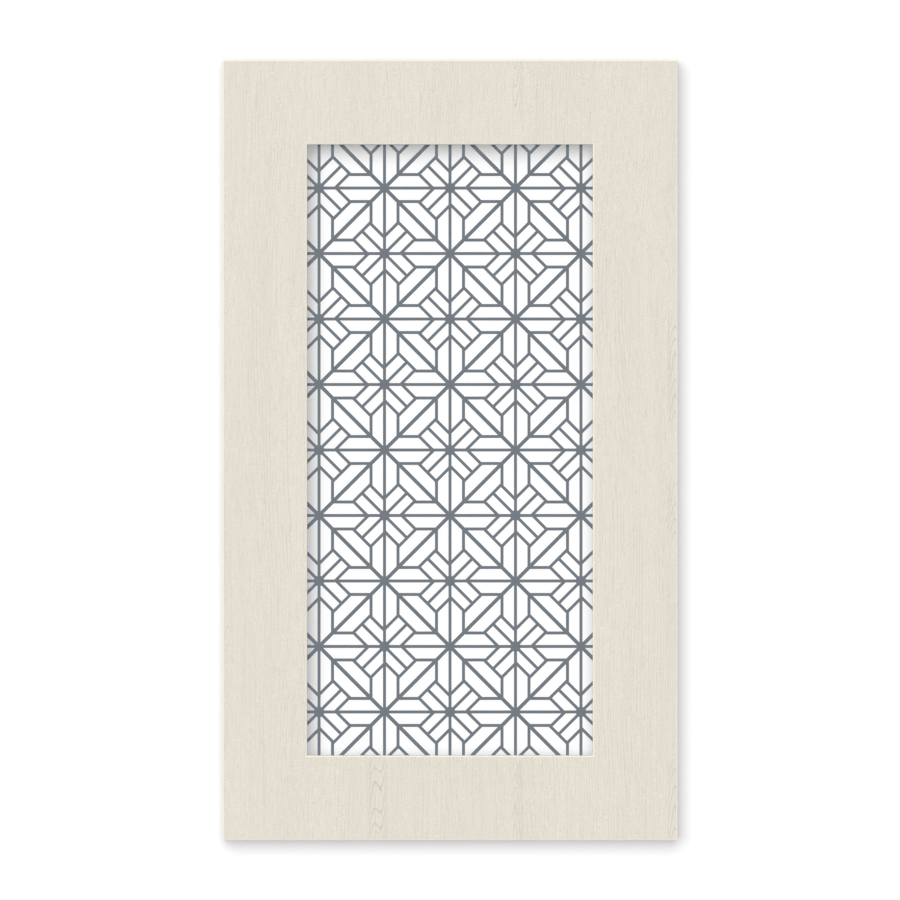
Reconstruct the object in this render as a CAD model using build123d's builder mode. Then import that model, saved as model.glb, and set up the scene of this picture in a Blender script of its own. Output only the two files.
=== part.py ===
"""Framed cabinet door whose window holds a laser-cut metal lattice.

X runs across the door, Z up, and the front looks towards -Y. The origin is the centre of the door
slab. All sizes are in millimetres.
"""

import os
from math import ceil, sqrt

from build123d import *

# Door slab: one routed panel wrapped in wood-grain foil
door_width = 355.6
door_height = 609.6
door_thickness = 19.05
stile_width = 66.3
rail_width = 66.2
eased_edge_radius = 1.2

# Rebate behind the window, which leaves a thin lip at the front
lip_thickness = 6.35
rebate_width = 9.5
rebate_corner_radius = 4.0

# Hinge cup bores in the back of one stile
cup_radius = 17.5
cup_depth = 12.5
cup_centre_from_edge = 22.5
cup_centre_from_end = 88.9

# Metal sheet that lies against the lip
sheet_thickness = 1.5
sheet_clearance = 1.5
lattice_under_lip = 1.2

# Star lattice: small stars and large stars take turns on a square grid
star_pitch = 51.2
fine_bar_width = 2.35
main_bar_width = 2.9
small_star_hub = 4.05
strap_reach = 24.9
chevron_near = 12.5
chevron_far = 13.45
side_bar_offset = 10.55

# Offset clips that hold the sheet in the rebate
clip_width = 12.0
clip_wall = 2.4
clip_plate_length = 12.5
clip_leg_gap = 0.5
clip_foot_margin = 1.5
clip_bend_chamfer = 0.9
clip_corner_chamfer = 2.5
stile_clip_spacing = 240.0

# Pan head screws of the clips
screw_from_rebate = 6.5
screw_head_radius = 3.3
screw_head_height = 2.0
screw_core_radius = 1.35
screw_length = 10.0
clip_hole_radius = 1.9
pilot_fit = 0.05
pilot_spare_depth = 1.5

# Places that follow from the sizes above
window_width = door_width - 2 * stile_width
window_height = door_height - 2 * rail_width
rebate_span_x = window_width + 2 * rebate_width
rebate_span_z = window_height + 2 * rebate_width
sheet_width = rebate_span_x - 2 * sheet_clearance
sheet_height = rebate_span_z - 2 * sheet_clearance
field_width = window_width + 2 * lattice_under_lip
field_height = window_height + 2 * lattice_under_lip
clip_drop = door_thickness - lip_thickness - sheet_thickness

front_plane = Plane.XZ.offset(door_thickness / 2)
sheet_plane = front_plane.offset(-lip_thickness)
back_plane = Plane(origin=(0, door_thickness / 2, 0), x_dir=(1, 0, 0), z_dir=(0, 1, 0))

os.makedirs("parts", exist_ok=True)


def clip_seats():
    """Planes on the door's back where the clips cross the rebate, x towards the window and z outwards."""
    seats = []
    for side in (-1, 1):
        for step in (-1, 1):
            place = (side * rebate_span_x / 2, door_thickness / 2, step * stile_clip_spacing / 2)
            seats.append(Plane(origin=place, x_dir=(-side, 0, 0), z_dir=(0, 1, 0)))
        place = (0, door_thickness / 2, side * rebate_span_z / 2)
        seats.append(Plane(origin=place, x_dir=(0, 0, -side), z_dir=(0, 1, 0)))
    return seats


seats = clip_seats()

# Door frame: slab, window, rebate, eased edges, hinge cups and pilot holes
with BuildPart() as door_frame:
    with BuildSketch(front_plane):
        Rectangle(door_width, door_height)
        Rectangle(window_width, window_height, mode=Mode.SUBTRACT)
    extrude(amount=-door_thickness)
    with BuildSketch(back_plane):
        RectangleRounded(rebate_span_x, rebate_span_z, rebate_corner_radius)
    extrude(amount=lip_thickness - door_thickness, mode=Mode.SUBTRACT)
    fillet(door_frame.faces().sort_by(Axis.Y)[0].edges(), eased_edge_radius)

    cup_x = cup_centre_from_edge - door_width / 2
    cup_z = door_height / 2 - cup_centre_from_end
    with Locations(back_plane):
        with Locations((cup_x, -cup_z), (cup_x, cup_z)):
            Hole(cup_radius, depth=cup_depth)
    pilot_depth = screw_length - clip_wall + pilot_spare_depth
    with Locations(*[seat.location * Pos(-screw_from_rebate, 0, 0) for seat in seats]):
        Hole(screw_core_radius + pilot_fit, depth=pilot_depth)

# Bars of one quarter of a small star: chevrons and strap in one run, two side bars and the arm
strap_line = strap_reach * sqrt(2)
near_corner = ((strap_line + chevron_near) / 2, (strap_line - chevron_near) / 2)
far_corner = ((strap_line - chevron_far) / 2, (strap_line + chevron_far) / 2)
side_bar_end = star_pitch - side_bar_offset
arm_end = strap_line / 2
with BuildSketch() as quarter_star:
    with BuildLine():
        Polyline((chevron_near, 0), near_corner, far_corner, (0, chevron_far))
    trace(line_width=fine_bar_width)
    with BuildLine():
        Line((near_corner[0] - fine_bar_width / 2, side_bar_offset), (side_bar_end, side_bar_offset))
    trace(line_width=fine_bar_width)
    with BuildLine():
        Line((side_bar_offset, far_corner[1] - fine_bar_width / 2), (side_bar_offset, side_bar_end))
    trace(line_width=fine_bar_width)
    with BuildLine():
        Line((0, 0), (arm_end, arm_end))
    trace(line_width=fine_bar_width)

# Holes of one cell: the diamond between four large stars, less the bars that cross it
with BuildSketch() as cell_holes:
    diamond_side = star_pitch * sqrt(2) - main_bar_width
    Rectangle(diamond_side, diamond_side, rotation=45)
    Rectangle(2 * star_pitch, fine_bar_width, mode=Mode.SUBTRACT)
    Rectangle(fine_bar_width, 2 * star_pitch, mode=Mode.SUBTRACT)
    with PolarLocations(0, 4):
        add(quarter_star.sketch, mode=Mode.SUBTRACT)
    RegularPolygon(small_star_hub, 8, major_radius=False, mode=Mode.SUBTRACT)

# The cells side by side, cut off where the plain border begins
columns = ceil(field_width / 2 / star_pitch)
rows = ceil(field_height / 2 / star_pitch)
cell_places = [
    (column * star_pitch, row * star_pitch)
    for column in range(-columns, columns + 1)
    for row in range(-rows, rows + 1)
    if (column + row) % 2 == 0
]
with BuildSketch() as lattice_holes:
    with Locations(*cell_places):
        add(cell_holes.sketch)
    Rectangle(field_width, field_height, mode=Mode.INTERSECT)

# Metal insert: one flat sheet with the lattice cut out of it
with BuildPart() as metal_insert:
    with BuildSketch(sheet_plane):
        RectangleRounded(sheet_width, sheet_height, rebate_corner_radius)
        add(lattice_holes.sketch, mode=Mode.SUBTRACT)
    extrude(amount=-sheet_thickness)


def build_clip(seat):
    """One stepped clip: plate on the door's back, leg down the rebate wall, foot on the sheet."""
    leg_inside = clip_leg_gap + clip_wall
    foot_tip = rebate_width - clip_foot_margin
    side_view = Plane(origin=seat.origin, x_dir=seat.x_dir, z_dir=-seat.y_dir)
    with BuildPart() as clip:
        with BuildSketch(side_view):
            with BuildLine():
                Polyline(
                    (-clip_plate_length, 0),
                    (clip_leg_gap, 0),
                    (clip_leg_gap, -clip_drop),
                    (foot_tip, -clip_drop),
                    (foot_tip, clip_wall - clip_drop),
                    (leg_inside, clip_wall - clip_drop),
                    (leg_inside, clip_wall),
                    (-clip_plate_length, clip_wall),
                    close=True,
                )
            make_face()
        extrude(amount=clip_width / 2, both=True)

        # the two bends that show, then the corners of the plate
        across = clip.edges().filter_by(Axis(seat.origin, seat.y_dir))
        chamfer(across.sort_by(Axis(seat.origin, seat.x_dir))[4:6], clip_bend_chamfer)
        plate_end = clip.faces().sort_by(Axis(seat.origin, seat.x_dir))[0]
        chamfer(plate_end.edges().filter_by(Axis.Y), clip_corner_chamfer)
        with Locations(seat.location * Pos(-screw_from_rebate, 0, clip_wall)):
            Hole(clip_hole_radius, depth=clip_wall)
    return clip


# Screw: flat pan head on a plain core, its underside at height 0
with BuildPart() as screw:
    with BuildSketch(Plane.XY):
        Circle(screw_head_radius)
    extrude(amount=screw_head_height)
    with BuildSketch(Plane.XY):
        Circle(screw_core_radius)
    extrude(amount=-screw_length)

with BuildPart() as retainer_screws:
    with Locations(*[seat.location * Pos(-screw_from_rebate, 0, clip_wall) for seat in seats]):
        add(screw.part)

for number, seat in enumerate(seats, start=1):
    clip = build_clip(seat)
    clip.part.label = f"retainer_clip_{number}"
    export_step(clip.part, f"parts/{clip.part.label}.step")

door_frame.part.label = "door_frame"
export_step(door_frame.part, "parts/door_frame.step")
metal_insert.part.label = "metal_insert"
export_step(metal_insert.part, "parts/metal_insert.step")
retainer_screws.part.label = "retainer_screws"
export_step(retainer_screws.part, "parts/retainer_screws.step")
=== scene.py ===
"""Looks of a framed cabinet door with a metal lattice in its window.

The door stands upright in front of a pale backdrop and is seen straight from the front, at -Y.
"""

from math import cos, pi, radians, sin

import bpy
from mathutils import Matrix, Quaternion, Vector


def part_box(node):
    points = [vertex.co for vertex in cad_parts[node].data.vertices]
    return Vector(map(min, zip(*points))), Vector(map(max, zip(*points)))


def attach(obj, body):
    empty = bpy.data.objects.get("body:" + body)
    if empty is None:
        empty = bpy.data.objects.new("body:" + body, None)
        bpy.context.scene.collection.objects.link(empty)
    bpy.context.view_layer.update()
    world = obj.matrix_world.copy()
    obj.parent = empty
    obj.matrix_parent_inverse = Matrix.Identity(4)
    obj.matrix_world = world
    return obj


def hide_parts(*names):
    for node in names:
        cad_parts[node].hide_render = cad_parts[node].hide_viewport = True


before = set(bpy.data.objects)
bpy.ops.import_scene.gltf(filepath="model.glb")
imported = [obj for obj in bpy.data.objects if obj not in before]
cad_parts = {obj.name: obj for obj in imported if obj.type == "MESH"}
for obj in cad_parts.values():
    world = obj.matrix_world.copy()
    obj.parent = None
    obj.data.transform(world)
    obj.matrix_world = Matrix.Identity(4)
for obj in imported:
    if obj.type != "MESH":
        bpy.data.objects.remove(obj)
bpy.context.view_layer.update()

MM = 0.001

# Places that the finishes and the new pieces take from the frame
door_low, door_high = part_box("door_frame")
sheet_low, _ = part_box("metal_insert")
_, screws_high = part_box("retainer_screws")
clips = sorted(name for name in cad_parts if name.startswith("retainer_clip_"))

# Rounding of the edges that a coat or a mould leaves
coat_rounding = 0.12 * MM
mould_rounding = 0.3 * MM

# Faces that meet at less than this angle are shaded as one surface
smooth_angle = radians(35)

# How far a direction goes along another before it counts as facing that way
facing = 0.5

# The photograph: its scale at the front of the door, and the camera's long lens
photo_size = 900
mm_per_pixel = 0.7809
lens_length = 300.0
sensor_size = 36.0

# Light: a soft key from the upper left and a faint surround. With the white that the front reflects
# they add up to about one there.
key_share = 0.82
front_fill = 0.125
key_tilt = radians(14)
key_roll = radians(56)
key_softness = radians(51)

# Print of the foil: its darkest and palest colour, and how far between them it lies on average
foil_dark = "#CEC8BB"
foil_pale = "#EFE8DB"
foil_mean_tone = 0.69

# Bends of the grain: width and length of a bend, and how far it goes to either side, all in mm
grain_bends = (
    (60, 240, 7),
    (12, 170, 1.0),
)

# Broad tone and speckle of the grain: width and length of a mark in mm, and how far it goes either way
grain_tones = (
    (18, 420, 0.04),
    (0.4, 0.5, 0.37),
)

# Dark marks of the grain, long lines and short pores: width and length in mm, and how dark
grain_marks = (
    (0.45, 150, 0.22),
    (0.4, 9, 0.17),
)

# Values of the noise between which a tone goes from dark to pale, and a mark from dark to nothing
tone_span = (0.25, 0.75)
mark_span = (0.28, 0.5)

# Thin lines of late wood, which gather in bundles: their spacing in mm and how dark they are
ring_spacing = 2.3
ring_depth = 0.27
bundle_width = 8
bundle_length = 160

# Columns of arches in the grain, in mm, and how dark they are. Their left legs go out to left_reach of
# the half width.
figure_depth = 1.0
figures = (
    dict(centre=175.7, half_width=7, low=15, high=110, even=-30, odd=13, hook=0, left_reach=1),
    dict(centre=175.7, half_width=7, low=-75, high=-20, even=-30, odd=13, hook=0, left_reach=1),
    dict(centre=175.7, half_width=7, low=-330, high=-240, even=-30, odd=13, hook=0, left_reach=1),
    dict(centre=-56.7, half_width=9, low=-330, high=-236, even=0, odd=84, hook=14, left_reach=1),
    dict(centre=51, half_width=7, low=-330, high=-240, even=-50, odd=0, hook=0, left_reach=0.35),
    dict(centre=51, half_width=7, low=252, high=330, even=50, odd=0, hook=0, left_reach=0.35),
)

# A surface this close to the outside of the board counts as its outside
skin = 0.15 * MM


def linear(hex_colour):
    """Linear colour of an sRGB hex value."""
    channels = [int(hex_colour[start:start + 2], 16) / 255 for start in (1, 3, 5)]
    return [c / 12.92 if c <= 0.04045 else ((c + 0.055) / 1.055) ** 2.4 for c in channels] + [1.0]


def add_node(tree, kind, inputs=None, **settings):
    """One node with its settings. Each input is a number, a colour or another node's output."""
    node = tree.nodes.new(kind)
    for name, value in settings.items():
        setattr(node, name, value)
    for socket, value in (inputs or {}).items():
        if isinstance(value, bpy.types.NodeSocket):
            tree.links.new(value, node.inputs[socket])
        else:
            node.inputs[socket].default_value = value
    return node


def new_material(name):
    """A material with nothing in it yet, and its tree."""
    material = bpy.data.materials.new(name)
    material.use_nodes = True
    material.node_tree.nodes.clear()
    return material, material.node_tree


def mottle(tree, place, across, along, detail=0.0):
    """Soft noise from 0 to 1 whose marks are this wide and this long, in millimetres."""
    scale = (1 / (across * MM), 1 / (across * MM), 1 / (along * MM))
    spread = add_node(tree, "ShaderNodeMapping", {"Vector": place, "Scale": scale})
    return add_node(
        tree, "ShaderNodeTexNoise", {"Vector": spread.outputs[0], "Scale": 1.0, "Detail": detail}
    ).outputs["Fac"]


def bending_grain(tree, place):
    """Object coordinates that bend to either side along the grain, so that its lines bend and crowd."""
    sideways = 0.0
    for across, along, reach in grain_bends:
        bend = add_node(
            tree,
            "ShaderNodeMapRange",
            {"Value": mottle(tree, place, across, along), "To Min": -reach * MM, "To Max": reach * MM},
        )
        sideways = add_node(
            tree, "ShaderNodeMath", {0: sideways, 1: bend.outputs[0]}, operation="ADD"
        ).outputs[0]
    shift = add_node(tree, "ShaderNodeCombineXYZ", {"X": sideways, "Y": sideways})
    return add_node(
        tree, "ShaderNodeVectorMath", {0: place, 1: shift.outputs[0]}, operation="ADD"
    ).outputs[0]


def late_wood(tree, grain):
    """Darkness of the thin upright lines, evenly spaced across the bending grain.

    A line sets in near the end of its spacing, and shows where the noise makes a bundle.
    """
    line_start = 0.72
    line_full = 0.9
    bundle_start = 0.42
    bundle_full = 0.62
    axes = add_node(tree, "ShaderNodeSeparateXYZ", {"Vector": grain})
    across = add_node(
        tree, "ShaderNodeMath", {0: axes.outputs["X"], 1: axes.outputs["Y"]}, operation="ADD"
    )
    turns = add_node(
        tree, "ShaderNodeMath", {0: across.outputs[0], 1: ring_spacing * MM}, operation="DIVIDE"
    )
    ring = add_node(tree, "ShaderNodeMath", {0: turns.outputs[0]}, operation="FRACT")
    line = add_node(
        tree,
        "ShaderNodeMapRange",
        {"Value": ring.outputs[0], "From Min": line_start, "From Max": line_full},
    )
    bundle = add_node(
        tree,
        "ShaderNodeMapRange",
        {
            "Value": mottle(tree, grain, bundle_width, bundle_length, detail=1.0),
            "From Min": bundle_start,
            "From Max": bundle_full,
        },
    )
    return add_node(
        tree, "ShaderNodeMath", {0: line.outputs[0], 1: bundle.outputs[0]}, operation="MULTIPLY"
    ).outputs[0]


def grain_streaks(tree, grain):
    """Tone of the printed grain, as a share of the way from its darkest to its palest colour."""
    tone = foil_mean_tone
    levels = [(across, along, tone_span, reach, reach) for across, along, reach in grain_tones]
    levels += [(across, along, mark_span, dark, 0.0) for across, along, dark in grain_marks]
    for across, along, (low, high), dark, pale in levels:
        level = add_node(
            tree,
            "ShaderNodeMapRange",
            {
                "Value": mottle(tree, grain, across, along),
                "From Min": low,
                "From Max": high,
                "To Min": -dark,
                "To Max": pale,
            },
        )
        tone = add_node(
            tree, "ShaderNodeMath", {0: tone, 1: level.outputs[0]}, operation="ADD"
        ).outputs[0]
    return add_node(
        tree,
        "ShaderNodeMath",
        {0: late_wood(tree, grain), 1: -ring_depth, 2: tone},
        operation="MULTIPLY_ADD",
    ).outputs[0]


def fade_out(tree, line, limits):
    """The line, faded to nothing between two values of each of these measures."""
    for measure, full, gone in limits:
        share = add_node(
            tree,
            "ShaderNodeMapRange",
            {"Value": measure, "From Min": gone, "From Max": full},
            interpolation_type="SMOOTHSTEP",
        )
        line = add_node(
            tree, "ShaderNodeMath", {0: line, 1: share.outputs[0]}, operation="MULTIPLY"
        ).outputs[0]
    return line


def arch_figure(tree, place, centre, half_width, low, high, even, odd, hook, left_reach):
    """Darkness of one narrow column of nested arches in the grain.

    Across the column, at u from -1 to 1, each line stands at even * |u| ** 1.5 + odd * u ** 3 - hook * u
    above its middle, in millimetres. It is thin and crisp in the middle and wide and soft on its legs.
    """
    spacing = 14.0
    uneven = 22.0
    uneven_width = 40
    uneven_height = 26

    # shares of the spacing: where a line sets in, in the middle and beyond legs_from, and where it is full
    middle_start = 0.89
    leg_start = 0.56
    legs_from = 0.8
    line_full = 0.93

    # the line fades out from these shares of u, between these depths behind the door's front, and over
    # this height at each end of the column
    side_fade = 0.75
    left_fade = 0.6
    front_depth = 0.6 * MM
    last_depth = 1.8 * MM
    end_fade = 12

    axes = add_node(tree, "ShaderNodeSeparateXYZ", {"Vector": place})
    from_centre = add_node(
        tree, "ShaderNodeMath", {0: axes.outputs["X"], 1: centre * MM}, operation="SUBTRACT"
    )
    u = add_node(
        tree, "ShaderNodeMath", {0: from_centre.outputs[0], 1: half_width * MM}, operation="DIVIDE"
    ).outputs[0]
    size = add_node(tree, "ShaderNodeMath", {0: u}, operation="ABSOLUTE").outputs[0]
    shape = 0.0
    for base, power, height in ((size, 1.5, even), (u, 3.0, odd), (u, 1.0, -hook)):
        raised = add_node(tree, "ShaderNodeMath", {0: base, 1: power}, operation="POWER")
        shape = add_node(
            tree,
            "ShaderNodeMath",
            {0: raised.outputs[0], 1: height * MM, 2: shape},
            operation="MULTIPLY_ADD",
        ).outputs[0]
    level = add_node(
        tree, "ShaderNodeMath", {0: axes.outputs["Z"], 1: shape}, operation="SUBTRACT"
    )
    level = add_node(
        tree,
        "ShaderNodeMath",
        {
            0: mottle(tree, place, uneven_width, uneven_height, detail=1.0),
            1: uneven * MM,
            2: level.outputs[0],
        },
        operation="MULTIPLY_ADD",
    )
    turns = add_node(
        tree, "ShaderNodeMath", {0: level.outputs[0], 1: spacing * MM}, operation="DIVIDE"
    )
    ring = add_node(tree, "ShaderNodeMath", {0: turns.outputs[0]}, operation="FRACT")
    start = add_node(
        tree,
        "ShaderNodeMapRange",
        {"Value": size, "From Max": legs_from, "To Min": middle_start, "To Max": leg_start},
    )
    line = add_node(
        tree,
        "ShaderNodeMapRange",
        {"Value": ring.outputs[0], "From Min": start.outputs[0], "From Max": line_full},
    )
    limits = (
        (size, side_fade, 1.0),
        (u, -left_fade * left_reach, -left_reach),
        (axes.outputs["Y"], door_low.y + front_depth, door_low.y + last_depth),
        (axes.outputs["Z"], (low + end_fade) * MM, low * MM),
        (axes.outputs["Z"], (high - end_fade) * MM, high * MM),
    )
    return fade_out(tree, line.outputs[0], limits)


def printed_grain(tree, place):
    """Tone of the whole print: the streaks, and the columns of arches in them."""
    tone = grain_streaks(tree, bending_grain(tree, place))
    for figure in figures:
        line = arch_figure(tree, place, **figure)
        tone = add_node(
            tree, "ShaderNodeMath", {0: line, 1: -figure_depth, 2: tone}, operation="MULTIPLY_ADD"
        ).outputs[0]
    return tone


def eased_stretch_and_highlight(tree, depth):
    """How far the foil is stretched over an eased edge, from 0 to 1. The same share lays a painted
    highlight along the edge.

    It sets in where the surface falls behind the flat front, and fades out along the door's side.
    """
    first_depth = 0.002 * MM
    full_depth = 0.04 * MM
    fade_depth = 1.1 * MM
    last_depth = 2.2 * MM
    share = 1.0
    for gone, full in ((first_depth, full_depth), (last_depth, fade_depth)):
        ramp = add_node(
            tree,
            "ShaderNodeMapRange",
            {"Value": depth, "From Min": door_low.y + gone, "From Max": door_low.y + full},
        )
        share = add_node(
            tree, "ShaderNodeMath", {0: share, 1: ramp.outputs[0]}, operation="MULTIPLY"
        ).outputs[0]
    return share


def cut_share(tree, axes):
    """One where a surface is cut into the board behind its lip, as in the rebate, and otherwise zero."""
    wide = add_node(tree, "ShaderNodeMath", {0: axes.outputs["X"]}, operation="ABSOLUTE")
    tall = add_node(tree, "ShaderNodeMath", {0: axes.outputs["Z"]}, operation="ABSOLUTE")
    share = 1.0
    for value, test, limit in (
        (wide.outputs[0], "LESS_THAN", door_high.x - skin),
        (tall.outputs[0], "LESS_THAN", door_high.z - skin),
        (axes.outputs["Y"], "GREATER_THAN", sheet_low.y - skin),
    ):
        passed = add_node(tree, "ShaderNodeMath", {0: value, 1: limit}, operation=test)
        share = add_node(
            tree, "ShaderNodeMath", {0: share, 1: passed.outputs[0]}, operation="MULTIPLY"
        ).outputs[0]
    return share


def wood_grain_foil():
    """Matt foil printed with pale ash grain over fibreboard: upright streaks, open pores, a few arches.

    The foil wraps the front, the edges and the walls of the window, and is stretched paler over the eased
    edges, where that paler colour also stands in as a painted highlight. The back is plain melamine, and
    the rebate and the bored holes show the raw fibreboard.
    """
    # the board's fibres are drawn as clumps, as coarse as they need to show
    fibre_size = 0.9

    material, tree = new_material("wood_grain_foil")
    place = add_node(tree, "ShaderNodeTexCoord").outputs["Object"]
    axes = add_node(tree, "ShaderNodeSeparateXYZ", {"Vector": place})
    depth = axes.outputs["Y"]
    tone = printed_grain(tree, place)
    stretch_and_painted_highlight = eased_stretch_and_highlight(tree, depth)
    back = add_node(tree, "ShaderNodeMath", {0: depth, 1: door_high.y - skin}, operation="GREATER_THAN")
    fibreboard = add_node(
        tree,
        "ShaderNodeMix",
        {
            "Factor": mottle(tree, place, fibre_size, fibre_size, detail=4.0),
            "A": linear("#8A6B4B"),
            "B": linear("#B4946D"),
        },
        data_type="RGBA",
    )
    colour = linear(foil_dark)
    for share, over in (
        (tone, linear(foil_pale)),
        # foil stretched over the eased edges is paler, and this near white is also a painted highlight
        # along them
        (stretch_and_painted_highlight, linear("#FBF4E6")),
        (cut_share(tree, axes), fibreboard.outputs["Result"]),
        (back.outputs[0], linear("#E6E1D6")),
    ):
        colour = add_node(
            tree, "ShaderNodeMix", {"Factor": share, "A": colour, "B": over}, data_type="RGBA"
        ).outputs["Result"]
    relief = add_node(
        tree, "ShaderNodeBump", {"Height": tone, "Strength": 0.2, "Distance": 0.08 * MM}
    )
    gloss = add_node(tree, "ShaderNodeMapRange", {"Value": stretch_and_painted_highlight, "To Min": 0.62, "To Max": 0.3})
    surface = add_node(
        tree,
        "ShaderNodeBsdfPrincipled",
        {"Base Color": colour, "Roughness": gloss.outputs[0], "Normal": relief.outputs[0]},
    )
    add_node(tree, "ShaderNodeOutputMaterial", {"Surface": surface.outputs[0]})
    return material


def slate_powder_coat():
    """Matt slate grey powder coat baked on steel, with its fine orange peel."""
    peel_size = 0.7
    material, tree = new_material("slate_powder_coat")
    place = add_node(tree, "ShaderNodeTexCoord").outputs["Object"]
    peel = mottle(tree, place, peel_size, peel_size, detail=2.0)
    colour = add_node(
        tree,
        "ShaderNodeMix",
        {"Factor": peel, "A": linear("#687078"), "B": linear("#707880")},
        data_type="RGBA",
    )
    relief = add_node(
        tree, "ShaderNodeBump", {"Height": peel, "Strength": 0.3, "Distance": 0.05 * MM}
    )
    surface = add_node(
        tree,
        "ShaderNodeBsdfPrincipled",
        {
            "Base Color": colour.outputs["Result"],
            "Roughness": 0.72,
            "Specular IOR Level": 0.35,
            "Normal": relief.outputs[0],
        },
    )
    add_node(tree, "ShaderNodeOutputMaterial", {"Surface": surface.outputs[0]})
    return material


def natural_nylon():
    """Moulded nylon without pigment: milky, a little yellow, half matt."""
    cloud_size = 5

    # the grit of the mould is drawn as coarse as it needs to show
    grit_size = 0.35

    material, tree = new_material("natural_nylon")
    place = add_node(tree, "ShaderNodeTexCoord").outputs["Object"]
    colour = add_node(
        tree,
        "ShaderNodeMix",
        {
            "Factor": mottle(tree, place, cloud_size, cloud_size, detail=2.0),
            "A": linear("#DAD5C6"),
            "B": linear("#E9E5D9"),
        },
        data_type="RGBA",
    )
    grit = mottle(tree, place, grit_size, grit_size, detail=1.0)
    relief = add_node(
        tree, "ShaderNodeBump", {"Height": grit, "Strength": 0.3, "Distance": 0.02 * MM}
    )
    surface = add_node(
        tree,
        "ShaderNodeBsdfPrincipled",
        {"Base Color": colour.outputs["Result"], "Roughness": 0.42, "Normal": relief.outputs[0]},
    )
    add_node(tree, "ShaderNodeOutputMaterial", {"Surface": surface.outputs[0]})
    return material


def zinc_plate():
    """Bright zinc plating on steel screws: pale metal with faint cloudy patches."""
    patch_size = 1.2
    material, tree = new_material("zinc_plate")
    place = add_node(tree, "ShaderNodeTexCoord").outputs["Object"]
    patches = mottle(tree, place, patch_size, patch_size, detail=3.0)
    colour = add_node(
        tree,
        "ShaderNodeMix",
        {"Factor": patches, "A": linear("#B9BDC1"), "B": linear("#D3D5D4")},
        data_type="RGBA",
    )
    gloss = add_node(tree, "ShaderNodeMapRange", {"Value": patches, "To Min": 0.24, "To Max": 0.42})
    surface = add_node(
        tree,
        "ShaderNodeBsdfPrincipled",
        {"Base Color": colour.outputs["Result"], "Metallic": 1.0, "Roughness": gloss.outputs[0]},
    )
    add_node(tree, "ShaderNodeOutputMaterial", {"Surface": surface.outputs[0]})
    return material


def put_finish(piece, material):
    """The piece wears this one material."""
    piece.data.materials.clear()
    piece.data.materials.append(material)


def start_on(piece):
    """The piece is the only one selected, and the active one."""
    bpy.ops.object.select_all(action="DESELECT")
    piece.select_set(True)
    bpy.context.view_layer.objects.active = piece


def edit_all(piece):
    """Opens the piece for editing with all of it selected."""
    start_on(piece)
    bpy.ops.object.mode_set(mode="EDIT")
    bpy.ops.mesh.select_all(action="SELECT")


def edit_faces(piece, chosen):
    """Opens the piece for editing with only its faces that pass the test selected."""
    start_on(piece)
    bpy.context.tool_settings.mesh_select_mode = (False, False, True)
    for face in piece.data.polygons:
        face.select = chosen(face)
    bpy.ops.object.mode_set(mode="EDIT")


def close_edit():
    """Back to the whole piece."""
    bpy.ops.object.mode_set(mode="OBJECT")


def rounded_shape(node, name, radius, segments):
    """A copy of a node's own shape with its sharp edges rounded."""
    same_point = 0.001 * MM
    sliver = 0.004 * MM
    flat_angle = radians(1)
    sharp_angle = radians(30)
    piece = bpy.data.objects.new(name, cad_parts[node].data.copy())
    bpy.context.scene.collection.objects.link(piece)
    edit_all(piece)
    bpy.ops.mesh.remove_doubles(threshold=same_point)
    bpy.ops.mesh.dissolve_limited(angle_limit=flat_angle)
    close_edit()
    rounding = piece.modifiers.new("rounding", "BEVEL")
    rounding.limit_method = "ANGLE"
    rounding.angle_limit = sharp_angle
    rounding.width = radius
    rounding.segments = segments
    bpy.ops.object.modifier_apply(modifier="rounding")
    edit_all(piece)
    bpy.ops.mesh.remove_doubles(threshold=sliver)
    bpy.ops.mesh.dissolve_degenerate(threshold=sliver)
    close_edit()
    bpy.ops.object.shade_smooth_by_angle(angle=smooth_angle)
    return piece


def stand_for(piece, node, material):
    """The piece takes the node's place and this finish."""
    put_finish(piece, material)
    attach(piece, "root")
    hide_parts(node)


def clip_seat(name):
    """Middle of a clip's box, the direction out of the window, and the clip's length and width."""
    low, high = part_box(name)
    middle = Vector([(low[axis] + high[axis]) / 2 for axis in range(3)])
    across = high[0] - low[0]
    upright = high[2] - low[2]
    if across > upright:
        outwards = Vector((1 if middle.x > 0 else -1, 0, 0))
    else:
        outwards = Vector((0, 0, 1 if middle.z > 0 else -1))
    return middle, outwards, max(across, upright), min(across, upright)


def moulded_clips(material):
    """The clips, rounded once as their mould is, and copied, each turned outwards at its own place."""
    pattern = rounded_shape(clips[0], "clip_pattern", mould_rounding, segments=3)
    pattern_middle, pattern_outwards, _, _ = clip_seat(clips[0])
    for number, node in enumerate(clips, start=1):
        middle, outwards, _, _ = clip_seat(node)
        turn = pattern_outwards.rotation_difference(outwards)

        # a half turn goes round Y, so that the plate stays on the door's back
        if outwards.dot(pattern_outwards) < -facing:
            turn = Quaternion((0, 1, 0), pi)
        start_on(pattern)
        bpy.ops.object.duplicate()
        clip = bpy.context.object
        clip.name = f"moulded_clip_{number}"
        clip.rotation_mode = "QUATERNION"
        clip.rotation_quaternion = turn
        clip.location = middle - turn @ pattern_middle
        bpy.ops.object.transform_apply(location=True, rotation=True, scale=True)
        stand_for(clip, node, material)
    bpy.data.objects.remove(pattern)


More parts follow.
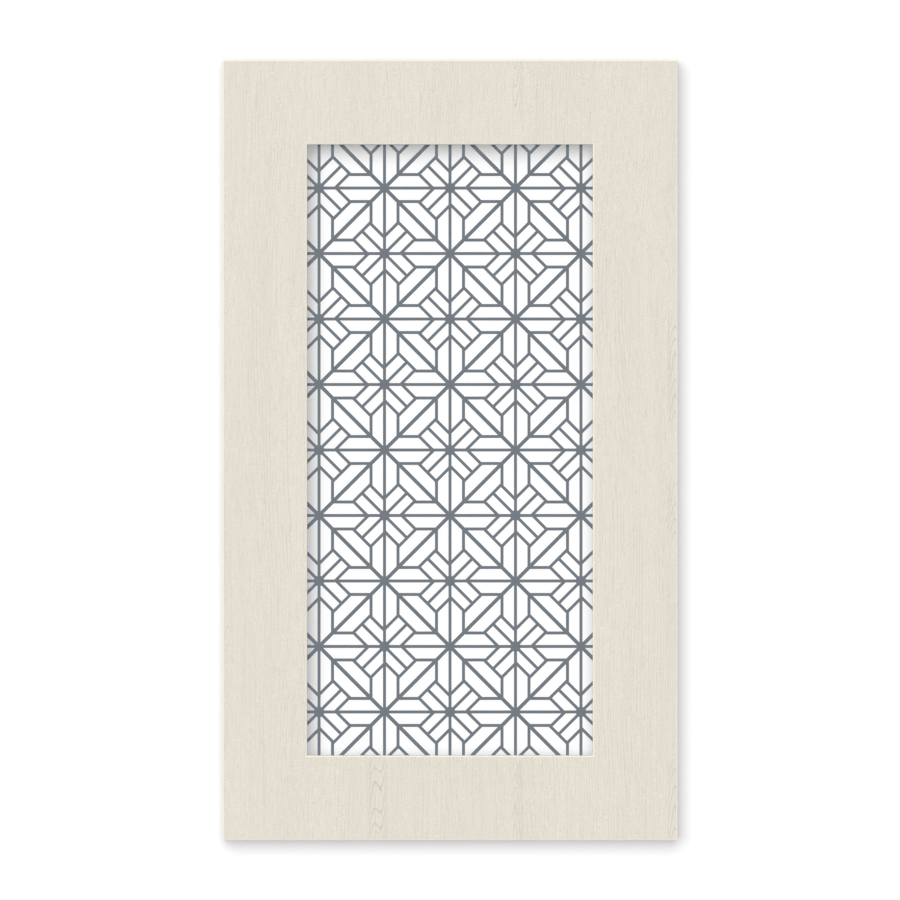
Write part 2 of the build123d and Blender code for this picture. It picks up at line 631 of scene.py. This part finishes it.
def recess_cutter(head_height):
    """Cross that cuts the recess of a screw: four arms that narrow towards its bottom."""
    arm_width = 1.3 * MM
    arm_length = 1.9 * MM
    depth = 1.4 * MM
    above = 1.0 * MM
    bottom_share = 0.4
    height = depth + above
    bpy.ops.mesh.primitive_cube_add(size=1, location=(0, 0, head_height - depth + height / 2))
    cutter = bpy.context.object
    cutter.scale = (arm_width, arm_width, height)
    bpy.ops.object.transform_apply(location=True, rotation=True, scale=True)
    edit_faces(cutter, lambda face: abs(face.normal.z) < facing)
    bpy.ops.mesh.extrude_faces_move(TRANSFORM_OT_shrink_fatten={"value": arm_length})
    close_edit()
    edit_faces(cutter, lambda face: face.normal.z < -facing)
    bpy.ops.transform.resize(value=(bottom_share, bottom_share, 1))
    close_edit()
    return cutter


def model_screw():
    """One pan head screw upright at the origin: domed head, cross recess, pointed core."""
    sides = 32
    head_radius = 3.3 * MM
    head_height = 2.0 * MM
    shoulder = 1.0 * MM
    core_radius = 1.35 * MM
    core_length = 7.5 * MM
    tip_length = 2.5 * MM
    tip_share = 0.2
    bpy.ops.object.select_all(action="DESELECT")
    bpy.ops.mesh.primitive_cylinder_add(
        vertices=sides, radius=head_radius, depth=head_height, location=(0, 0, head_height / 2)
    )
    screw = bpy.context.object
    bpy.ops.object.transform_apply(location=True, rotation=True, scale=True)
    edit_faces(screw, lambda face: face.normal.z > facing)
    bpy.ops.mesh.region_to_loop()
    bpy.ops.mesh.bevel(offset=shoulder, segments=4, affect="EDGES")
    close_edit()
    edit_faces(screw, lambda face: face.normal.z < -facing)
    bpy.ops.mesh.inset(thickness=head_radius - core_radius)
    bpy.ops.mesh.extrude_region_move(TRANSFORM_OT_translate={"value": (0, 0, -core_length)})
    bpy.ops.mesh.extrude_region_move(TRANSFORM_OT_translate={"value": (0, 0, -tip_length)})
    bpy.ops.transform.resize(value=(tip_share, tip_share, 1))
    close_edit()
    cutter = recess_cutter(head_height)
    start_on(screw)
    recess = screw.modifiers.new("recess", "BOOLEAN")
    recess.operation = "DIFFERENCE"
    recess.object = cutter
    bpy.ops.object.modifier_apply(modifier="recess")
    bpy.data.objects.remove(cutter)
    bpy.ops.object.shade_smooth_by_angle(angle=smooth_angle)
    return screw, head_height


def pan_head_screws(material):
    """The screws of the clips, modelled once and copied, each turned its own way.

    A screw stands half a clip's width in from the clip's outer end.
    """
    turn = radians(37)
    pattern, head_height = model_screw()
    copies = []
    for number, node in enumerate(clips):
        middle, outwards, length, width = clip_seat(node)
        place = middle + outwards * (length - width) / 2
        start_on(pattern)
        bpy.ops.object.duplicate()
        screw = bpy.context.object
        screw.rotation_euler = (-pi / 2, number * turn, 0)
        screw.location = (place.x, screws_high.y - head_height, place.z)
        bpy.ops.object.transform_apply(location=True, rotation=True, scale=True)
        copies.append(screw)
    bpy.data.objects.remove(pattern)
    start_on(copies[0])
    for screw in copies[1:]:
        screw.select_set(True)
    bpy.ops.object.join()
    screws = bpy.context.object
    screws.name = "pan_head_screws"
    stand_for(screws, "retainer_screws", material)


def pale_backdrop():
    """Paper that glows a little, seen by the camera alone, and only from its front.

    It lets light through to what the camera sees of the door's back, and hides that light from itself:
    past the bounce limit it is black.
    """
    plain_white = 0.805
    own_glow = 0.275
    bounce_limit = 1.5
    material, tree = new_material("pale_backdrop")
    grey = [plain_white, plain_white, plain_white, 1.0]
    paper = add_node(tree, "ShaderNodeBsdfDiffuse", {"Color": grey})
    glow = add_node(tree, "ShaderNodeEmission", {"Strength": own_glow})
    seen = add_node(tree, "ShaderNodeAddShader", {0: paper.outputs[0], 1: glow.outputs[0]})
    clear = add_node(tree, "ShaderNodeBsdfTransparent")
    dark = add_node(tree, "ShaderNodeBsdfDiffuse", {"Color": linear("#000000")})
    rays = add_node(tree, "ShaderNodeLightPath")
    bounces = add_node(
        tree,
        "ShaderNodeMath",
        {0: rays.outputs["Diffuse Depth"], 1: rays.outputs["Is Shadow Ray"]},
        operation="ADD",
    )
    late = add_node(
        tree, "ShaderNodeMath", {0: bounces.outputs[0], 1: bounce_limit}, operation="GREATER_THAN"
    )
    unseen = add_node(
        tree, "ShaderNodeMixShader", {0: late.outputs[0], 1: clear.outputs[0], 2: dark.outputs[0]}
    )
    side = add_node(tree, "ShaderNodeNewGeometry")
    front = add_node(
        tree, "ShaderNodeMath", {0: 1.0, 1: side.outputs["Backfacing"]}, operation="SUBTRACT"
    )
    shown = add_node(
        tree,
        "ShaderNodeMath",
        {0: rays.outputs["Is Camera Ray"], 1: front.outputs[0]},
        operation="MULTIPLY",
    )
    shader = add_node(
        tree, "ShaderNodeMixShader", {0: shown.outputs[0], 1: unseen.outputs[0], 2: seen.outputs[0]}
    )
    add_node(tree, "ShaderNodeOutputMaterial", {"Surface": shader.outputs[0]})
    return material


def build_backdrop():
    """The upright backdrop just behind the screws."""
    width = 6.0
    gap = 1.0 * MM
    bpy.ops.object.select_all(action="DESELECT")
    bpy.ops.mesh.primitive_plane_add(
        size=width, location=(0, screws_high.y + gap, 0), rotation=(pi / 2, 0, 0)
    )
    bpy.ops.object.transform_apply(location=True, rotation=True, scale=True)
    backdrop = bpy.context.object
    backdrop.name = "backdrop"
    put_finish(backdrop, pale_backdrop())


def build_surround():
    """Surround that is faint in front of the door and white behind it, by how far it lies along Y."""
    faint_to = -0.3
    white_from = 0.1
    world = bpy.data.worlds.new("white_surround")
    bpy.context.scene.world = world
    world.use_nodes = True
    tree = world.node_tree
    tree.nodes.clear()
    direction = add_node(tree, "ShaderNodeTexCoord").outputs["Generated"]
    axes = add_node(tree, "ShaderNodeSeparateXYZ", {"Vector": direction})
    round_the_door = add_node(
        tree,
        "ShaderNodeMapRange",
        {
            "Value": axes.outputs["Y"],
            "From Min": faint_to,
            "From Max": white_from,
            "To Min": front_fill,
            "To Max": 1.0,
        },
    )

    # the camera sees plain white, and so does whatever reflects it
    rays = add_node(tree, "ShaderNodeLightPath")
    seen = rays.outputs["Is Camera Ray"]
    for ray in ("Is Glossy Ray", "Is Transmission Ray"):
        seen = add_node(
            tree, "ShaderNodeMath", {0: seen, 1: rays.outputs[ray]}, operation="MAXIMUM"
        ).outputs[0]
    strength = add_node(
        tree,
        "ShaderNodeMix",
        {"Factor": seen, "A": round_the_door.outputs[0], "B": 1.0},
        data_type="FLOAT",
    )
    surround = add_node(
        tree,
        "ShaderNodeBackground",
        {"Color": linear("#FFFFFF"), "Strength": strength.outputs["Result"]},
    )
    add_node(tree, "ShaderNodeOutputWorld", {"Surface": surround.outputs[0]})


def build_key(lattice):
    """The key lamp in front.

    The lattice takes the key's light but doesn't block it, so the backdrop shows the frame's shadow alone,
    as the photograph does.
    """
    lamp = bpy.data.lights.new("key", "SUN")
    lamp.energy = pi * key_share / cos(key_tilt)
    lamp.angle = key_softness
    key = bpy.data.objects.new("key", lamp)
    bpy.context.scene.collection.objects.link(key)
    towards_key = Vector(
        (-sin(key_tilt) * cos(key_roll), -cos(key_tilt), sin(key_tilt) * sin(key_roll))
    )
    key.rotation_mode = "QUATERNION"
    key.rotation_quaternion = towards_key.to_track_quat("Z", "Y")
    let_through = bpy.data.collections.new("let_through_by_the_key")
    let_through.objects.link(lattice)
    let_through.collection_objects[0].light_linking.link_state = "EXCLUDE"
    key.light_linking.blocker_collection = let_through


def build_camera():
    """Camera straight in front of the door, far enough that the picture is flat."""
    view_width = photo_size * mm_per_pixel * MM
    distance = view_width * lens_length / sensor_size
    camera_data = bpy.data.cameras.new("camera")
    camera_data.lens = lens_length
    camera_data.sensor_width = sensor_size
    camera = bpy.data.objects.new("camera", camera_data)
    bpy.context.scene.collection.objects.link(camera)
    camera.location = (0, door_low.y - distance, 0)
    camera.rotation_euler = (pi / 2, 0, 0)
    bpy.context.scene.camera = camera


put_finish(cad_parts["door_frame"], wood_grain_foil())
coat = slate_powder_coat()
put_finish(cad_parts["metal_insert"], coat)
lattice = rounded_shape("metal_insert", "coated_lattice", coat_rounding, segments=2)
stand_for(lattice, "metal_insert", coat)
nylon = natural_nylon()
for name in clips:
    put_finish(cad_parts[name], nylon)
moulded_clips(nylon)
zinc = zinc_plate()
put_finish(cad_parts["retainer_screws"], zinc)
pan_head_screws(zinc)

build_backdrop()
build_surround()
build_key(lattice)
build_camera()
bpy.context.scene.view_settings.view_transform = "Standard"
